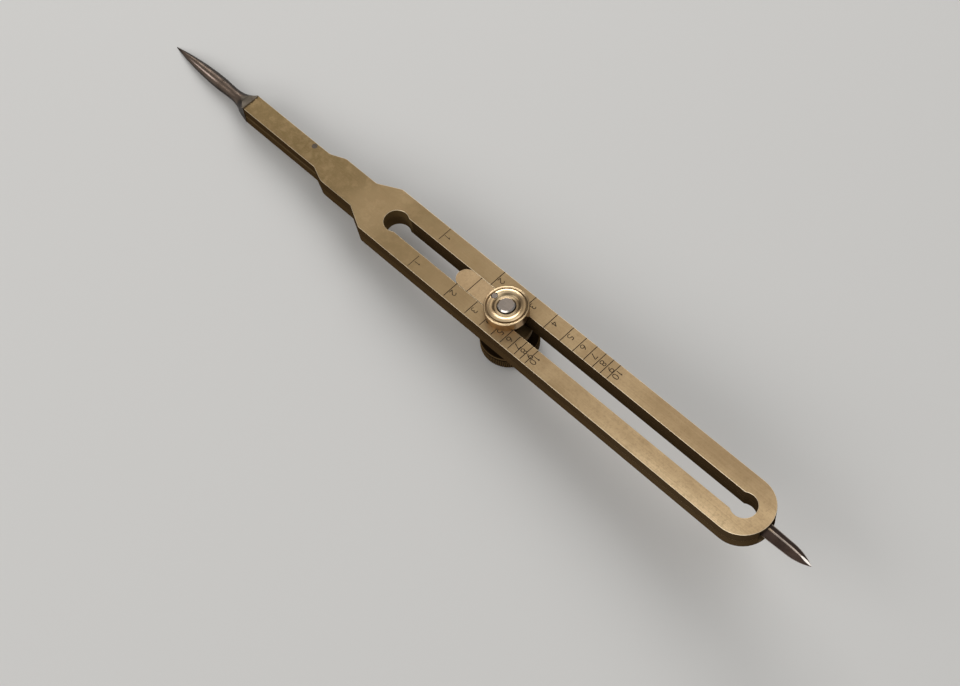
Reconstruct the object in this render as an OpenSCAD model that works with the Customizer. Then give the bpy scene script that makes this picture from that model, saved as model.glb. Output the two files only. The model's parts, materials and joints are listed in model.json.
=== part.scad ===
// Proportional dividers: two slotted brass legs, steel points at both ends, and a
// sliding pivot carriage that clamps the legs together with a knurled thumb nut.
// Millimetres. +X runs along the closed legs to the short points, +Z is up, and the
// origin is the middle of the thumb nut's flat underside, on the pivot axis.

/* [Overall] */
// Distance from the long tips to the short tips
tip_to_tip = 171.5; // [160:0.5:185]
// Distance from the long tips to the pivot at the present setting
pivot_setting = 98.2; // [84:0.1:150]

/* [Legs] */
// Thickness of one leg
leg_t = 2.35; // [2:0.05:3]
// Width of the slotted body
body_w = 12; // [11:0.1:14]
// Width of the neck between the two shoulders
neck_w = 7.1; // [6:0.1:9]
// Width of the narrow limb that carries the long point
limb_w = 4.3; // [3.8:0.1:5.5]
// Length of the narrow limb
limb_l = 21.9; // [16:0.1:26]
// Length of the shoulder between limb and neck
first_shoulder_l = 3.4; // [2:0.1:6]
// Rounding of that shoulder's corners
first_shoulder_r = 2.4; // [0.5:0.1:4]
// Length of the neck
neck_l = 8.8; // [5:0.1:12]
// Length of the shoulder between neck and slotted body
second_shoulder_l = 4.9; // [3:0.1:8]
// Rounding of that shoulder's corners
second_shoulder_r = 1.2; // [0.5:0.1:3]
// Width of the slot
slot_w = 4.1; // [3.8:0.05:4.6]
// Diameter of the round holes that end the slot
hole_d = 5; // [4.8:0.1:6.2]
// Distance from the start of the slotted body to the first hole's centre
hole_inset = 4.5; // [4:0.1:8]
// Distance from the rounded end to the last hole's centre
end_hole_inset = 5.7; // [5.2:0.1:6.5]
// Bevel along the inner edges of the narrow limb
limb_bevel = 0.35; // [0.2:0.05:0.6]

/* [Steel points] */
// Length of the long points, from tip to brass
long_point_l = 24.4; // [20:0.1:30]
// Radius of the long point where its leaf is fullest
leaf_r = 1.42; // [1.35:0.01:1.6]
// Distance from the tip to the leaf's fullest place
leaf_at = 14.4; // [11:0.1:15.5]
// Radius of the long point's waist
waist_r = 1.27; // [1.1:0.01:1.3]
// Distance from the tip to the waist
waist_at = 18.6; // [17:0.1:19.2]
// Length of the tenon that is let into the limb
tenon_l = 6; // [4:0.1:9]
// Width of the tenon
tenon_w = 2.2; // [1.6:0.1:2.8]
// Height of the tenon
tenon_t = 1.2; // [0.8:0.05:1.6]
// Length of the short points, from the rounded end to the tip
short_point_l = 9.6; // [8:0.1:12]
// Radius of the short point at its root
short_root_r = 1.42; // [1.2:0.01:1.5]
// Radius of the short point where its nose starts
short_nose_r = 1.24; // [1:0.01:1.28]
// Length of the short point's rounded nose
short_nose_l = 5; // [2.5:0.1:6]
// Wall of brass between the slot's end hole and the short point's seat
seat_wall = 0.8; // [0.6:0.05:1]
// Length of the short point's seated block
seat_block_l = 1.3; // [0.9:0.05:1.5]
// Width of the short point's seat
seat_w = 4.2; // [3.8:0.1:4.8]
// Depth of the short point's seat, from the leg's inner face
seat_t = 1.75; // [1.6:0.05:1.85]
// Radius of the sharpened tips
tip_r = 0.06; // [0.04:0.01:0.12]

/* [Register pin] */
// Diameter of the pin that lines up the closed legs
register_d = 1.2; // [1:0.05:1.4]
// Distance of the pin from the limb's shoulder
register_inset = 3.7; // [2.5:0.1:8]
// Distance of the pin from the legs' middle line
register_off = 1.36; // [1:0.02:1.4]
// Depth to which the pin reaches into the lower leg
register_reach = 1.4; // [1:0.05:1.7]

/* [Carriage] */
// Reach of the sliding blocks from the pivot towards the long points
slider_reach = 12.9; // [11:0.1:15]
// Diameter of the clamp stud's shank
stud_d = 2.6; // [2.2:0.05:2.8]
// Diameter of the clamp stud's head
head_d = 3.36; // [3.2:0.02:3.7]
// Height of the stud's head above the cap's inner land
head_rise = 0.52; // [0.34:0.02:0.6]
// Bevel round the stud's head
head_bevel = 0.26; // [0.1:0.02:0.3]
// Bevel of the cap's bore round the stud's head
bore_bevel = 0.14; // [0.06:0.02:0.2]
// Diameter of the turned cap
cap_d = 8.7; // [8.5:0.02:9.4]
// Height of the cap at its outer bead
cap_h = 2.06; // [1.6:0.02:2.6]
// Radius of the cap's outer bead
bead_r = 0.22; // [0.16:0.01:0.24]
// Reach of the cap's bead past its wall
bead_reach = 0.05; // [0.02:0.01:0.12]
// Depth of the cap's groove inside the bead
groove_d = 0.28; // [0.2:0.02:0.5]
// Radius at which the cap's raised ring runs
ring_at = 3.18; // [3.12:0.01:3.24]
// Width of the raised ring from its crest out to the groove
ring_out = 0.44; // [0.36:0.01:0.48]
// Width of the raised ring from its crest in to the inner land
ring_in = 0.81; // [0.7:0.01:0.9]
// Height of the raised ring's crest above the bead
ring_rise = 0.1; // [0.04:0.02:0.2]
// Depth of the cap's inner land below the bead
land_d = 0.17; // [0.1:0.01:0.24]
// Thickness of brass under the stud's head
cap_seat = 0.6; // [0.5:0.05:0.8]
// Diameter of the key pin that locks the cap to the sliding block
key_d = 1.1; // [0.9:0.05:1.15]
// Radius at which the key pin stands
key_at = 3.06; // [3:0.01:3.1]
// Distance by which its hole in the cap is drilled further out
key_off = 0.12; // [0.05:0.01:0.13]
// Clearance of the key pin in its hole in the cap
key_fit = 0.14; // [0.14:0.01:0.2]
// Depth to which the key pin reaches into the sliding block
key_reach = 1.3; // [1:0.05:1.8]
// Diameter of the friction washer
washer_d = 9.2; // [8.4:0.1:10.4]
// Thickness of the friction washer
washer_t = 1.1; // [0.8:0.05:1.6]
// Rounding of the washer's edges
washer_edge = 0.2; // [0.1:0.02:0.3]

/* [Thumb nut] */
// Diameter over the knurling
nut_d = 11.6; // [10.6:0.1:13]
// Height of the knurled head
nut_head_h = 3.3; // [2.9:0.1:4.2]
// Diameter of the neck that bears on the washer
nut_neck_d = 6.8; // [5.6:0.1:7.6]
// Height of the neck
nut_neck_h = 2.2; // [1.6:0.1:3]
// Radius of the cove between head and neck
nut_cove = 0.9; // [0.5:0.05:1.2]
// Thickness of the closed floor under the thread
nut_floor = 1.1; // [0.8:0.05:1.5]
// Number of ridges in the knurling
knurl_count = 96; // [60:1:120]
// Depth of the knurling
knurl_d = 0.18; // [0.1:0.01:0.24]
// Height by which the ridges' crests are flattened
knurl_flat = 0.03; // [0.02:0.01:0.06]
// Radius of the smooth bead above the knurling
rim_bead_r = 0.32; // [0.2:0.02:0.4]
// Width of the groove between bead and knurling
rim_groove_w = 0.26; // [0.15:0.01:0.4]
// Depth of that groove
rim_groove_d = 0.34; // [0.25:0.01:0.5]
// Bevel round the nut's underside
nut_bevel = 0.4; // [0.2:0.05:0.6]

/* [Clearances] */
// Gap between flat faces that slide on each other
face_gap = 0.04; // [0.02:0.01:0.1]
// Side clearance of a sliding block in its slot
slide_fit = 0.03; // [0.02:0.01:0.08]
// Radial clearance of turning parts
turn_fit = 0.03; // [0.02:0.01:0.08]
// Clearance of fixed pieces in their seats
seat_fit = 0.01; // [0.005:0.005:0.02]
// Clearance of the register pin in its notch
register_fit = 0.14; // [0.12:0.01:0.3]
// Space between the stud's end and the nut's floor
stud_end_gap = 0.4; // [0.2:0.05:0.8]

/* [Hidden] */
$fn = 96;

// Colours of the metals
brass = [0.66, 0.56, 0.36];
turned_brass = [0.76, 0.64, 0.38];
steel = [0.36, 0.34, 0.33];

// Overcut, so that a cut never ends on the face it opens
over = 1;
// Straight pieces in each curved stretch of a turned profile
curve_steps = 14;
// Straight pieces in each fillet of a leg's outline
fillet_steps = 6;

// Stations along a leg, measured from the long tip
limb_end = long_point_l + limb_l;
register_at = limb_end - register_inset;
neck_start = limb_end + first_shoulder_l;
neck_end = neck_start + neck_l;
body_start = neck_end + second_shoulder_l;
body_end = tip_to_tip - short_point_l;
long_hole_at = body_start + hole_inset;
end_arc_at = body_end - body_w / 2;
short_hole_at = body_end - end_hole_inset;
short_seat_at = short_hole_at + hole_d / 2 + seat_wall;

// Heights of the stack, from the nut's underside up
nut_top = nut_head_h + nut_neck_h;
washer_z = nut_top + face_gap;
lower_outer_z = washer_z + washer_t + face_gap;
lower_inner_z = lower_outer_z + leg_t;
upper_inner_z = lower_inner_z + face_gap;
upper_outer_z = upper_inner_z + leg_t;
cap_z = upper_outer_z + face_gap;
stud_end_z = nut_floor + stud_end_gap;

// Points of an arc in a profile, from one angle to another
function arc(centre, radius, from, to) = arc_steps(centre, radius, from, to - from, curve_steps);

function arc_steps(centre, radius, from, sweep, steps) = [
    for (i = [0 : steps])
        let (a = from + sweep * i / steps)
        centre + radius * [cos(a), sin(a)]
];

// Points that round the corner b of an outline through a, b and c
function fillet(a, b, c, radius) =
    let (
        back = (a - b) / norm(a - b),
        on = (c - b) / norm(c - b),
        half = acos(back * on) / 2,
        reach = min(radius / tan(half), 0.45 * norm(a - b), 0.45 * norm(c - b)),
        r = reach * tan(half),
        centre = b + (back + on) / norm(back + on) * r / sin(half),
        start = b + back * reach - centre,
        sweep = (cross(back, on) < 0 ? 1 : -1) * (180 - 2 * half)
    )
    arc_steps(centre, r, atan2(start[1], start[0]), sweep, fillet_steps);

// Radius of a pointed arch that springs from radius small at 0 and is fullest at run
function arch(x, run, small, full) =
    let (rise = full - small, sweep = (run * run + rise * rise) / (2 * rise))
    full - sweep + sqrt(sweep * sweep - (run - x) * (run - x));

// Radius of a cove that leaves radius small level and reaches radius full at run
function cove(x, run, small, full) =
    let (rise = full - small, sweep = (run * run + rise * rise) / (2 * rise))
    small + sweep - sqrt(sweep * sweep - x * x);

function mirrored(edge) = [for (i = [len(edge) - 1 : -1 : 0]) [edge[i][0], -edge[i][1]]];

// Places a shape drawn from the long tip, inner face at height 0, on the upper leg
module on_upper_leg() {
    translate([-pivot_setting, 0, upper_inner_z]) children();
}

// The same on the lower leg, which is the upper one turned over
module on_lower_leg() {
    translate([-pivot_setting, 0, lower_inner_z]) mirror([0, 0, 1]) children();
}

// A profile of [distance from the tip, radius] turned about the leg's middle line,
// and cut at the inner face so that two of them close to a whole point
module half_turned(profile, reach, height) {
    intersection() {
        rotate([90, 0, 90])
            rotate_extrude()
                polygon([for (p = profile) [p[1], p[0]]]);
        translate([-over, -height, 0]) cube([reach + 2 * over, 2 * height, height]);
    }
}

module slot_cut() {
    translate([long_hole_at, -slot_w / 2, -over])
        cube([short_hole_at - long_hole_at, slot_w, leg_t + 2 * over]);
    for (x = [long_hole_at, short_hole_at])
        translate([x, 0, -over]) cylinder(d = hole_d, h = leg_t + 2 * over);
}

// The mortise for the long point's tenon and the notch for the short point's block
module seat_cuts() {
    translate([long_point_l - over, -tenon_w / 2 - seat_fit, -over])
        cube([tenon_l + seat_fit + over, tenon_w + 2 * seat_fit, tenon_t + seat_fit + over]);
    translate([short_seat_at, -seat_w / 2 - seat_fit, -over])
        cube([tip_to_tip - short_seat_at, seat_w + 2 * seat_fit, seat_t + seat_fit + over]);
}

// A wedge along each inner edge of the limb, reaching past the faces that it cuts
module limb_bevels() {
    inside = limb_w / 2 - limb_bevel - over;
    outside = limb_w / 2 + over;
    for (side = [0, 1])
        mirror([0, side, 0])
            translate([long_point_l - over, 0, 0])
                rotate([90, 0, 90])
                    linear_extrude(limb_l + over)
                        polygon([[inside, -over], [outside, -over], [outside, limb_bevel + over]]);
}

// One slotted leg, drawn from the long tip with its inner face at height 0
module leg_blank() {
    limb = [[long_point_l, limb_w / 2], [limb_end, limb_w / 2]];
    neck = [[neck_start, neck_w / 2], [neck_end, neck_w / 2]];
    body = [[body_start, body_w / 2], [end_arc_at, body_w / 2]];
    edge = concat(
        [limb[0]],
        fillet(limb[0], limb[1], neck[0], first_shoulder_r),
        fillet(limb[1], neck[0], neck[1], first_shoulder_r),
        fillet(neck[0], neck[1], body[0], second_shoulder_r),
        fillet(neck[1], body[0], body[1], second_shoulder_r),
        [body[1]]
    );
    difference() {
        union() {
            linear_extrude(leg_t) polygon(concat(edge, mirrored(edge)));
            translate([end_arc_at, 0, 0]) cylinder(d = body_w, h = leg_t);
        }
        slot_cut();
        seat_cuts();
        limb_bevels();
    }
}

module upper_leg() {
    color(brass) difference() {
        on_upper_leg() leg_blank();
        register_place(upper_inner_z - over)
            cylinder(d = register_d + 2 * seat_fit, h = leg_t + 2 * over);
    }
}

// The lower leg has a notch, open at the +Y edge, that takes the register pin
module lower_leg() {
    notch_w = register_d + 2 * register_fit;
    depth = register_reach + face_gap;
    color(brass) difference() {
        on_lower_leg() leg_blank();
        register_place(lower_inner_z - depth) {
            cylinder(d = notch_w, h = depth + over);
            translate([-notch_w / 2, 0, 0]) cube([notch_w, limb_w, depth + over]);
        }
    }
}

module register_place(z) {
    translate([register_at - pivot_setting, register_off, z]) children();
}

module register_pin() {
    color(steel)
        register_place(lower_inner_z - register_reach)
            cylinder(d = register_d, h = upper_outer_z - lower_inner_z + register_reach);
}

// Long point: a turned leaf whose flared root is cut flat to the limb's section
module long_point() {
    root_r = norm([limb_w / 2, leg_t]) * 1.02;
    flare = long_point_l - waist_at;
    leaf = [for (i = [0 : curve_steps]) let (x = leaf_at * i / curve_steps)
        [x, arch(x, leaf_at, tip_r, leaf_r)]];
    back = [for (i = [1 : curve_steps]) let (s = i / curve_steps)
        [leaf_at + (waist_at - leaf_at) * s, leaf_r - (leaf_r - waist_r) * (1 - cos(180 * s)) / 2]];
    root = [for (i = [1 : curve_steps]) let (x = flare * i / curve_steps)
        [waist_at + x, cove(x, flare, waist_r, root_r)]];
    profile = concat([[0, 0]], leaf, back, root, [[long_point_l, 0]]);
    intersection() {
        half_turned(profile, long_point_l, 2 * root_r);
        translate([-over, -limb_w / 2, 0]) cube([long_point_l + over, limb_w, leg_t]);
    }
    translate([long_point_l - over, -tenon_w / 2, 0]) cube([tenon_l + over, tenon_w, tenon_t]);
}

module upper_long_point() { color(steel) on_upper_leg() long_point(); }

module lower_long_point() { color(steel) on_lower_leg() long_point(); }

// Short point: a block in the leg's notch and a half-round bullet-nosed point
module short_point() {
    start = short_seat_at + seat_fit;
    nose_at = tip_to_tip - short_nose_l;
    nose = [for (i = [0 : curve_steps]) let (x = short_nose_l * i / curve_steps)
        [nose_at + x, arch(short_nose_l - x, short_nose_l, tip_r, short_nose_r)]];
    profile = concat([[start, 0], [start, short_root_r]], nose, [[tip_to_tip, 0]]);
    half_turned(profile, tip_to_tip, 2 * short_root_r);
    translate([start, -seat_w / 2, 0]) cube([seat_block_l, seat_w, seat_t]);
}

module upper_short_point() { color(steel) on_upper_leg() short_point(); }

module lower_short_point() { color(steel) on_lower_leg() short_point(); }

// A sliding block for one slot: round at both ends, bored on the pivot axis
module slider_block(bore_d) {
    width = slot_w - 2 * slide_fit;
    difference() {
        union() {
            translate([width / 2 - slider_reach, -width / 2, 0])
                cube([slider_reach - width / 2, width, leg_t]);
            for (x = [width / 2 - slider_reach, 0])
                translate([x, 0, 0]) cylinder(d = width, h = leg_t);
        }
        translate([0, 0, -over]) cylinder(d = bore_d, h = leg_t + 2 * over);
    }
}

module upper_slider() {
    color(brass) difference() {
        translate([0, 0, upper_inner_z]) slider_block(stud_d + 2 * seat_fit);
        key_place(upper_outer_z - key_reach)
            cylinder(d = key_d + 2 * seat_fit, h = key_reach + over);
    }
}

module lower_slider() {
    color(brass) translate([0, 0, lower_outer_z]) slider_block(stud_d + 2 * turn_fit);
}

module key_place(z) {
    translate([-key_at, 0, z]) children();
}

// Height of the cap's raised ring and of its inner land, from the cap's underside
function cap_crest() = cap_h + ring_rise;
function cap_land() = cap_h - land_d;

// Turned cap: a wall, a bead, a groove, a broad raised ring and an inner land
module top_cap() {
    bore_r = stud_d / 2 + seat_fit;
    head_r = head_d / 2 + seat_fit;
    wall_r = cap_d / 2 - bead_reach;
    bead = [cap_d / 2 - bead_r, cap_h - bead_r];
    under_bead = -acos((bead_r - bead_reach) / bead_r);
    floor_z = cap_h - groove_d;
    rise = ring_rise + land_d;
    ring_r = (ring_in * ring_in + rise * rise) / (2 * rise);
    profile = concat(
        [[bore_r, 0], [wall_r, 0]],
        arc(bead, bead_r, under_bead, 180),
        [[bead[0] - bead_r, floor_z], [ring_at + ring_out, floor_z]],
        arc([ring_at, cap_crest() - ring_r], ring_r, acos(ring_out / ring_r), 180 - acos(ring_in / ring_r)),
        [[head_r + bore_bevel, cap_land()], [head_r, cap_land() - bore_bevel]],
        [[head_r, cap_seat], [bore_r, cap_seat]]
    );
    color(turned_brass) difference() {
        translate([0, 0, cap_z]) rotate_extrude() polygon(profile);
        translate([-key_off, 0, 0])
            key_place(cap_z - over) cylinder(d = key_d + 2 * key_fit, h = cap_crest() + 2 * over);
    }
}

module cap_key_pin() {
    bottom = upper_outer_z - key_reach + seat_fit;
    top = cap_z + cap_crest();
    color(steel) key_place(bottom) cylinder(d = key_d, h = top - bottom);
}

// Clamp stud: a bevelled head in the cap, a plain shank through both sliding blocks,
// and a lower end that the nut screws on to
module clamp_stud() {
    head_z = cap_z + cap_seat + seat_fit;
    top_z = cap_z + cap_land() + head_rise;
    profile = [
        [0, stud_end_z],
        [stud_d / 2 - head_bevel, stud_end_z],
        [stud_d / 2, stud_end_z + head_bevel],
        [stud_d / 2, head_z],
        [head_d / 2, head_z],
        [head_d / 2, top_z - head_bevel],
        [head_d / 2 - head_bevel, top_z],
        [0, top_z]
    ];
    color(steel) rotate_extrude() polygon(profile);
}

// Friction washer: a disc with rounded edges between the lower leg and the nut
module friction_washer() {
    rim = washer_d / 2 - washer_edge;
    bore_r = stud_d / 2 + turn_fit;
    profile = concat(
        [[bore_r, 0]],
        arc([rim, washer_edge], washer_edge, -90, 0),
        arc([rim, washer_t - washer_edge], washer_edge, 0, 90),
        [[bore_r, washer_t]]
    );
    color(turned_brass) translate([0, 0, washer_z]) rotate_extrude() polygon(profile);
}

// What the knurling cuts away: a ring with one V between each pair of ridges
module knurl_cut(high) {
    crest = nut_d / 2 + knurl_flat;
    valley = nut_d / 2 - knurl_d;
    half_ridge = 180 / knurl_count;
    translate([0, 0, -over]) difference() {
        cylinder(r = crest + over, h = high + over);
        translate([0, 0, -over])
            linear_extrude(high + 3 * over)
                polygon([for (i = [0 : 2 * knurl_count - 1])
                    let (r = i % 2 == 0 ? crest : valley)
                    r * [cos(i * half_ridge), sin(i * half_ridge)]]);
    }
}

// Thumb nut: flat underside, knurled band, groove, smooth bead, cove and bearing neck
module thumb_nut() {
    outer = nut_d / 2;
    neck = nut_neck_d / 2;
    bead_z = nut_head_h - rim_bead_r;
    groove_top = bead_z - rim_bead_r;
    knurl_top = groove_top - rim_groove_w;
    groove_r = outer - rim_groove_d;
    profile = concat(
        [[0, 0], [outer - nut_bevel, 0], [outer, nut_bevel]],
        [[outer, knurl_top - knurl_d], [outer - knurl_d, knurl_top]],
        [[groove_r, knurl_top], [groove_r, groove_top]],
        arc([outer - rim_bead_r, bead_z], rim_bead_r, -90, 90),
        arc([neck + nut_cove, nut_head_h + nut_cove], nut_cove, 270, 180),
        [[neck, nut_top], [0, nut_top]]
    );
    color(turned_brass) difference() {
        rotate_extrude() polygon(profile);
        knurl_cut(knurl_top + rim_groove_w / 2);
        translate([0, 0, nut_floor]) cylinder(d = stud_d + 2 * turn_fit, h = nut_top);
    }
}

upper_leg();
lower_leg();
upper_long_point();
lower_long_point();
upper_short_point();
lower_short_point();
register_pin();
upper_slider();
lower_slider();
clamp_stud();
top_cap();
cap_key_pin();
friction_washer();
thumb_nut();
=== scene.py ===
# %% [markdown]
# # Brass proportional dividers
# Two slotted brass legs lie face to face and turn about a carriage that slides along
# their slots. Each leg ends in a long steel point and a short one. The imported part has
# every piece at its real size. This lesson gives the pieces their finish: softened
# edges, engraved scales, satin and turned brass, and dark ground steel.

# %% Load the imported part
import json
import math

import bmesh
import bpy
from mathutils import Euler, Matrix, Vector

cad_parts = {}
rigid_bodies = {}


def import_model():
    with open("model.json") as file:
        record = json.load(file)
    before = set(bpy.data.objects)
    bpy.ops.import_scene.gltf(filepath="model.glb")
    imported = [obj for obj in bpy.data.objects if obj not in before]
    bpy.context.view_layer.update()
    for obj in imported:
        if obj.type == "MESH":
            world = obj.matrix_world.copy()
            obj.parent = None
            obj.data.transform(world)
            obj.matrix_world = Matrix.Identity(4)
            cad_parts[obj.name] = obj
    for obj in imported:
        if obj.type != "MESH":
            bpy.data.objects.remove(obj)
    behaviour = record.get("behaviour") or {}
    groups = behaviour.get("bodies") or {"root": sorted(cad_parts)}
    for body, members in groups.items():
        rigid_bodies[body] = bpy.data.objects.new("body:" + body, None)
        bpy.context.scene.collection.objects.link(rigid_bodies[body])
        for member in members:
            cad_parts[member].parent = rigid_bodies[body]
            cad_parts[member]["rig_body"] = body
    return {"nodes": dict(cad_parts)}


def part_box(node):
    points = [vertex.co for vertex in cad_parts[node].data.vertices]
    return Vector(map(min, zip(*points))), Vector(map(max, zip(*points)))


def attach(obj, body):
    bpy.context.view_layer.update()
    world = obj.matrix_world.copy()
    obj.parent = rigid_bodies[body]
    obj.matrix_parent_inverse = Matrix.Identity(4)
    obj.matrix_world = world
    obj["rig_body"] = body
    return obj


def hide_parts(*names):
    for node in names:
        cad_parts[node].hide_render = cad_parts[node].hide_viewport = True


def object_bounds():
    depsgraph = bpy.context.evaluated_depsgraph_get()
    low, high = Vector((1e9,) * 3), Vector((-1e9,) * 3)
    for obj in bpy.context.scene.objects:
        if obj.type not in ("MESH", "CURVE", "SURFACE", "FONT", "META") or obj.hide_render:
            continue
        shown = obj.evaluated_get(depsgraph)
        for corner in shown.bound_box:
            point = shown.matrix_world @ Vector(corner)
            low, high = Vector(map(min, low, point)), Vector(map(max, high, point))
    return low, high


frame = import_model()
cad_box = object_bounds()
nodes = frame["nodes"]
scene = bpy.context.scene
MM = 0.001
print("nodes:", len(nodes), "length in mm:", round((cad_box[1].x - cad_box[0].x) / MM, 2))

# %% [markdown]
# ## Places on the instrument
# All later steps need a few places: where the long tips are, how high the outer faces
# lie, and how wide the body and its slot are. They could be typed in again, but then a
# change of size would leave them behind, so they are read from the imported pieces.

# %% Read the main places
long_tip_x = cad_box[0].x
short_tip_x = cad_box[1].x
tip_to_tip = short_tip_x - long_tip_x
upper_low, upper_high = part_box("upper_leg")
lower_low, lower_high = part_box("lower_leg")
top_face_z = upper_high.z
back_face_z = lower_low.z
mid_z = (upper_low.z + lower_high.z) / 2
body_half = upper_high.y
slide_fit = 0.03 * MM
slot_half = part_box("upper_slider")[1].y + slide_fit
rail_middle = (slot_half + body_half) / 2
print("body and slot width in mm:", round(2 * body_half / MM, 2), round(2 * slot_half / MM, 2))

# %% [markdown]
# ## Camera
# The camera stands where the photographer's did. Its place and angles come from the
# scale itself: the graduations follow the square-root and cube-root rules, so each tick
# is a point of known place, and the view follows from where the ticks appear.
# Setting angles by eye would be quicker, but the points would not line up.

# %% Set the camera
IMAGE_WIDTH_PX = 960
FOCAL_LENGTH_PX = 1760
SENSOR_WIDTH_MM = 36
CAMERA_PLACE_MM = (133.23, -111.06, 290.53)
CAMERA_TURN_DEG = (30.7005, 4.0698, 45.2881)
camera_data = bpy.data.cameras.new("camera")
camera_data.sensor_fit = "HORIZONTAL"
camera_data.sensor_width = SENSOR_WIDTH_MM
camera_data.lens = FOCAL_LENGTH_PX / IMAGE_WIDTH_PX * SENSOR_WIDTH_MM
camera_data.clip_start = 10 * MM
camera_data.clip_end = 10
camera = bpy.data.objects.new("camera", camera_data)
camera.location = Vector(CAMERA_PLACE_MM) * MM
camera.rotation_euler = Euler(map(math.radians, CAMERA_TURN_DEG))
scene.collection.objects.link(camera)
scene.camera = camera
print("lens in mm:", round(camera_data.lens, 2))

# %% [markdown]
# ## Small helpers for shader nodes
# A finish is a tree of nodes. Written out link by link it is hard to read, so short
# helpers add a node with its wires, do a sum, stretch a value, mix two colours, make
# noise and start a group. They are used in every group and material below.

# %% Define the node helpers
def put(tree, kind, wires=None, **settings):
    """Adds a node. A socket in wires is linked, and any other value is set."""
    node = tree.nodes.new(kind)
    for key_name, value in settings.items():
        setattr(node, key_name, value)
    for socket_name, value in (wires or {}).items():
        socket = node.inputs[socket_name]
        if isinstance(value, bpy.types.NodeSocket):
            tree.links.new(value, socket)
        else:
            socket.default_value = value
    return node


def calc(tree, operation, first, second=0.0):
    """One sum, such as MULTIPLY."""
    return put(tree, "ShaderNodeMath", {0: first, 1: second}, operation=operation).outputs[0]


def span(tree, value, low, high, to_low=0.0, to_high=1.0):
    """Stretches the part of a value between low and high over a new range."""
    wires = {"Value": value, 1: low, 2: high, 3: to_low, 4: to_high}
    return put(tree, "ShaderNodeMapRange", wires, interpolation_type="SMOOTHSTEP").outputs[0]


def tint(tree, amount, first, second):
    """Mixes two colours."""
    wires = {0: amount, 6: first, 7: second}
    return put(tree, "ShaderNodeMix", wires, data_type="RGBA").outputs[2]


def own_place(tree):
    """Each place on a piece in its own space, so that a finish moves with the piece."""
    return put(tree, "ShaderNodeTexCoord").outputs["Object"]


def mottling(tree, place, scale, detail=2.0, **more):
    """Soft noise with a mean of about 0.5. It is finer as the scale grows."""
    wires = {"Vector": place, "Scale": scale, "Detail": detail, **more}
    return put(tree, "ShaderNodeTexNoise", wires).outputs[0]


def start_group(name, inputs, outputs):
    """An empty shader node group with named sockets."""
    group = bpy.data.node_groups.new(name, "ShaderNodeTree")
    for label, kind, value in inputs:
        socket = group.interface.new_socket(label, in_out="INPUT", socket_type=kind)
        socket.default_value = value
    for label, kind in outputs:
        group.interface.new_socket(label, in_out="OUTPUT", socket_type=kind)
    return group, group.nodes.new("NodeGroupInput").outputs, group.nodes.new("NodeGroupOutput").inputs


FLOAT = "NodeSocketFloat"
VECTOR = "NodeSocketVector"
print("node helpers ready")

# %% [markdown]
# ## Floor
# The instrument lies on the rim of its thumb nut and on its long tips, so it slopes.
# The CAD frame keeps the legs level, so here the floor slopes instead, through those
# same two places. It is pale and plain, and seen from below it lets the view through,
# so that the back of the instrument can be looked at.

# %% Lay the floor
NUT_BEVEL = 0.4 * MM
FLOOR_REACH = 3.0
FLOOR_COLOUR = (0.62, 0.61, 0.59, 1)
rim_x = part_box("thumb_nut")[0].x + NUT_BEVEL
floor_slope = mid_z / (rim_x - long_tip_x)
floor_mesh = bpy.data.meshes.new("floor")
bm = bmesh.new()
bmesh.ops.create_grid(bm, x_segments=1, y_segments=1, size=FLOOR_REACH)
bm.to_mesh(floor_mesh)
bm.free()
floor = bpy.data.objects.new("floor", floor_mesh)
floor.location = (rim_x, 0, 0)
floor.rotation_euler = (0, math.atan(floor_slope), 0)
scene.collection.objects.link(floor)

floor_paint = bpy.data.materials.new("pale_floor")
floor_paint.use_nodes = True
floor_tree = floor_paint.node_tree
floor_shader = floor_tree.nodes["Principled BSDF"]
floor_shader.inputs["Base Color"].default_value = FLOOR_COLOUR
floor_shader.inputs["Roughness"].default_value = 0.75
see_through = put(floor_tree, "ShaderNodeBsdfTransparent")
from_below = put(floor_tree, "ShaderNodeNewGeometry").outputs["Backfacing"]
wires = {0: from_below, 1: floor_shader.outputs[0], 2: see_through.outputs[0]}
one_way = put(floor_tree, "ShaderNodeMixShader", wires)
floor_tree.links.new(one_way.outputs[0], floor_tree.nodes["Material Output"].inputs["Surface"])
floor.data.materials.append(floor_paint)
print("floor slope in degrees:", round(math.degrees(math.atan(floor_slope)), 2))

# %% [markdown]
# ## Light
# Metal shows what is around it more than it shows its own colour. One even, bright sky
# would make every curve look flat, so the sky is dim and four soft boxes give shape.
# The high one lights the satin faces, most of all towards the short points. The far one
# is low, and draws the bright arcs on the cap. The left one draws a thin line along each
# front edge and along the long points, and the near one is a strip that lights the wall
# of the cap.

# %% Hang the soft boxes and set the sky
SKY_STRENGTH = 0.28


def soft_box(name, place, size, radiance):
    """A rectangular lamp that looks at the middle of the part."""
    lamp = bpy.data.lights.new(name, "AREA")
    lamp.shape = "RECTANGLE"
    lamp.size, lamp.size_y = size
    lamp.energy = radiance * math.pi * size[0] * size[1]
    box = bpy.data.objects.new(name, lamp)
    box.location = place
    box.rotation_euler = (-Vector(place)).to_track_quat("-Z", "Y").to_euler()
    scene.collection.objects.link(box)
    return lamp.energy


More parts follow.
